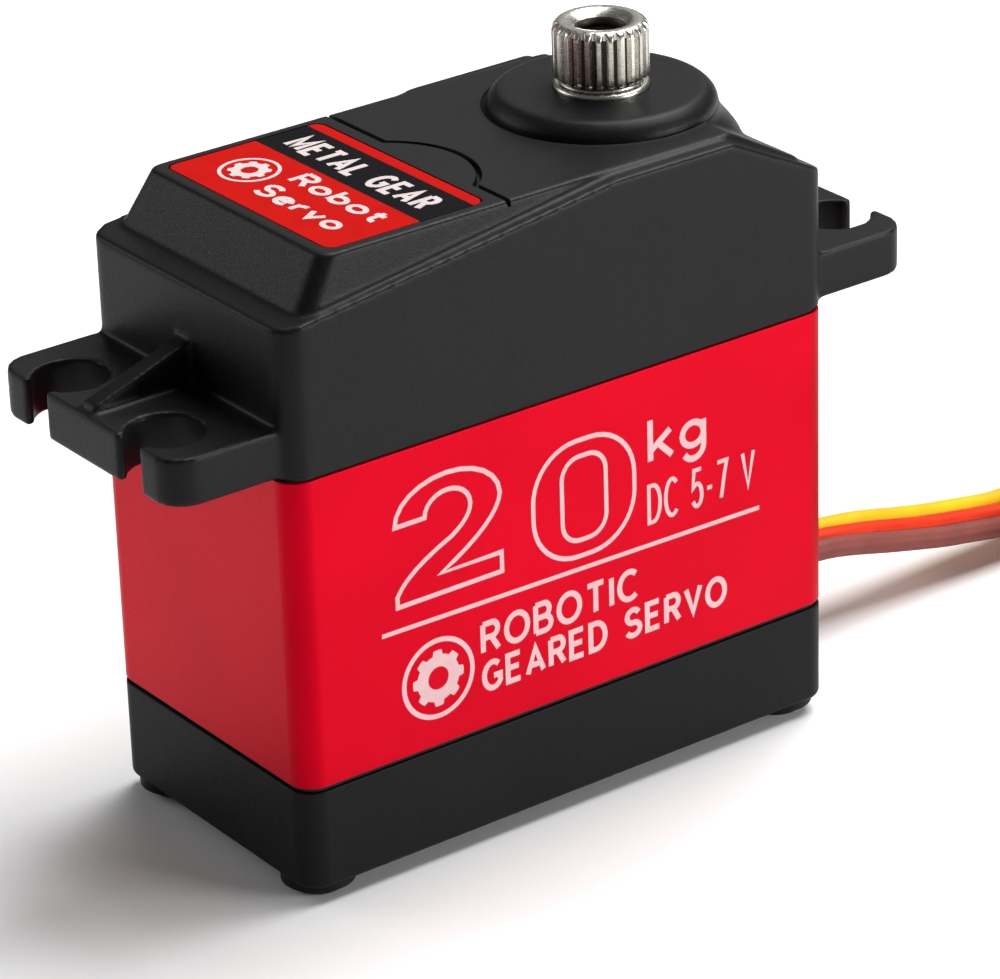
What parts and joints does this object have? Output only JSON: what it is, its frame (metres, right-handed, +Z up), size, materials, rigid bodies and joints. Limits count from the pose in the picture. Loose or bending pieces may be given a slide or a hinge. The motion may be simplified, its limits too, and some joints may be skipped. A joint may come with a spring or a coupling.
{
  "type": "hobby servo motor",
  "caption": "Standard-size digital hobby servo: splined output shaft, mounting ears with keyhole slots, red metal middle case between black covers and a flat three-wire lead.",
  "frame": {"origin": "on the surface that the four screw heads stand on, midway between the mounting ears", "axes": "+X towards the output shaft's end, +Y away from the printed long side, +Z up along the output shaft"},
  "size_m": [0.1159, 0.0476, 0.0458],
  "materials": {
    "black_plastic": "fine moulded texture, satin black",
    "red_anodised": "red anodised, satin",
    "label": "printed polyester label, red with a black band",
    "white_ink": "screen-printed white ink on the red case and the label",
    "rubber": "matt black rubber",
    "steel": "turned and hobbed steel, nickel tone",
    "black_steel": "black oxide",
    "bearing_steel": "ground and polished",
    "motor_steel": "zinc-plated drawn can",
    "magnet": "sintered ferrite",
    "brass": "hobbed brass",
    "white_plastic": "natural nylon",
    "chip": "moulded epoxy",
    "board": "green solder mask",
    "lead": "soft insulation, cores brown, orange-red and yellow",
    "plug_plastic": "black nylon",
    "contact": "gold flash"
  },
  "bodies": {
    "case": {"upper_case": "black_plastic", "middle_case": "red_anodised", "bottom_cover": "black_plastic", "upper_gasket": "rubber", "lower_gasket": "rubber", "label_plate": "label", "case_screw_1": "black_steel", "case_screw_2": "black_steel", "case_screw_3": "black_steel", "case_screw_4": "black_steel", "motor_can": "motor_steel", "motor_magnet_1": "magnet", "motor_magnet_2": "magnet", "motor_end_bell": "white_plastic", "motor_screw_1": "black_steel", "motor_screw_2": "black_steel", "motor_terminal_1": "brass", "motor_terminal_2": "brass", "idler_pin": "steel", "upper_bearing_outer_race": "bearing_steel", "lower_bearing_outer_race": "bearing_steel", "pot_body": "chip", "pot_leads": "white_plastic", "control_board": "board", "microcontroller": "chip", "bridge_transistor_1": "chip", "bridge_transistor_2": "chip", "bridge_transistor_3": "chip", "bridge_transistor_4": "chip", "capacitor": "motor_steel", "strain_relief": "rubber", "lead_inner_end": "lead", "lead_run": "lead", "lead_coil": "lead", "lead_tail": "lead", "coil_tie": "rubber", "plug_housing": "plug_plastic", "plug_contact_1": "contact", "plug_contact_2": "contact", "plug_contact_3": "contact"},
    "output": {"output_shaft": "steel", "upper_bearing_inner_race": "bearing_steel", "lower_bearing_inner_race": "bearing_steel", "spacer_bush": "brass", "pot_shaft": "white_plastic"},
    "third_idler": {"idler_gear_3": "steel"},
    "second_idler": {"idler_gear_2": "steel"},
    "first_idler": {"idler_gear_1": "brass"},
    "rotor": {"motor_rotor": "steel", "motor_pinion": "brass"},
    "upper_ball_set": {"upper_bearing_balls": "bearing_steel"},
    "lower_ball_set": {"lower_bearing_balls": "bearing_steel"}
  },
  "joints": [
    {"name": "output_turn", "type": "hinge", "parent": "case", "child": "output", "pos_m": [0.0107, 0, 0.0458], "axis": [0, 0, 1], "range_deg": [-90, 90]},
    {"name": "third_idler_spin", "type": "hinge", "parent": "case", "child": "third_idler", "pos_m": [0.00145, 0, 0.034], "axis": [0, 0, 1], "range_deg": [-243.1, 243.1]},
    {"name": "second_idler_spin", "type": "hinge", "parent": "case", "child": "second_idler", "pos_m": [0.0107, 0, 0.031], "axis": [0, 0, 1], "range_deg": [-656.2, 656.2]},
    {"name": "first_idler_spin", "type": "hinge", "parent": "case", "child": "first_idler", "pos_m": [0.00145, 0, 0.029], "axis": [0, 0, 1], "range_deg": [-1771.6, 1771.6]},
    {"name": "rotor_spin", "type": "hinge", "parent": "case", "child": "rotor", "pos_m": [-0.00725, 0, 0.029], "axis": [0, 0, 1], "range_deg": [-6790.8, 6790.8]},
    {"name": "upper_ball_roll", "type": "hinge", "parent": "case", "child": "upper_ball_set", "pos_m": [0.0107, 0, 0.0388], "axis": [0, 0, 1], "range_deg": [-38.3, 38.3]},
    {"name": "lower_ball_roll", "type": "hinge", "parent": "case", "child": "lower_ball_set", "pos_m": [0.0107, 0, 0.0273], "axis": [0, 0, 1], "range_deg": [-38.1, 38.1]}
  ],
  "couplings": [
    {"joint": "third_idler_spin", "follows": "output_turn", "ratio": -2.7},
    {"joint": "second_idler_spin", "follows": "output_turn", "ratio": 7.29},
    {"joint": "first_idler_spin", "follows": "output_turn", "ratio": -19.683},
    {"joint": "rotor_spin", "follows": "output_turn", "ratio": 75.451},
    {"joint": "upper_ball_roll", "follows": "output_turn", "ratio": 0.425},
    {"joint": "lower_ball_roll", "follows": "output_turn", "ratio": 0.4222}
  ]
}
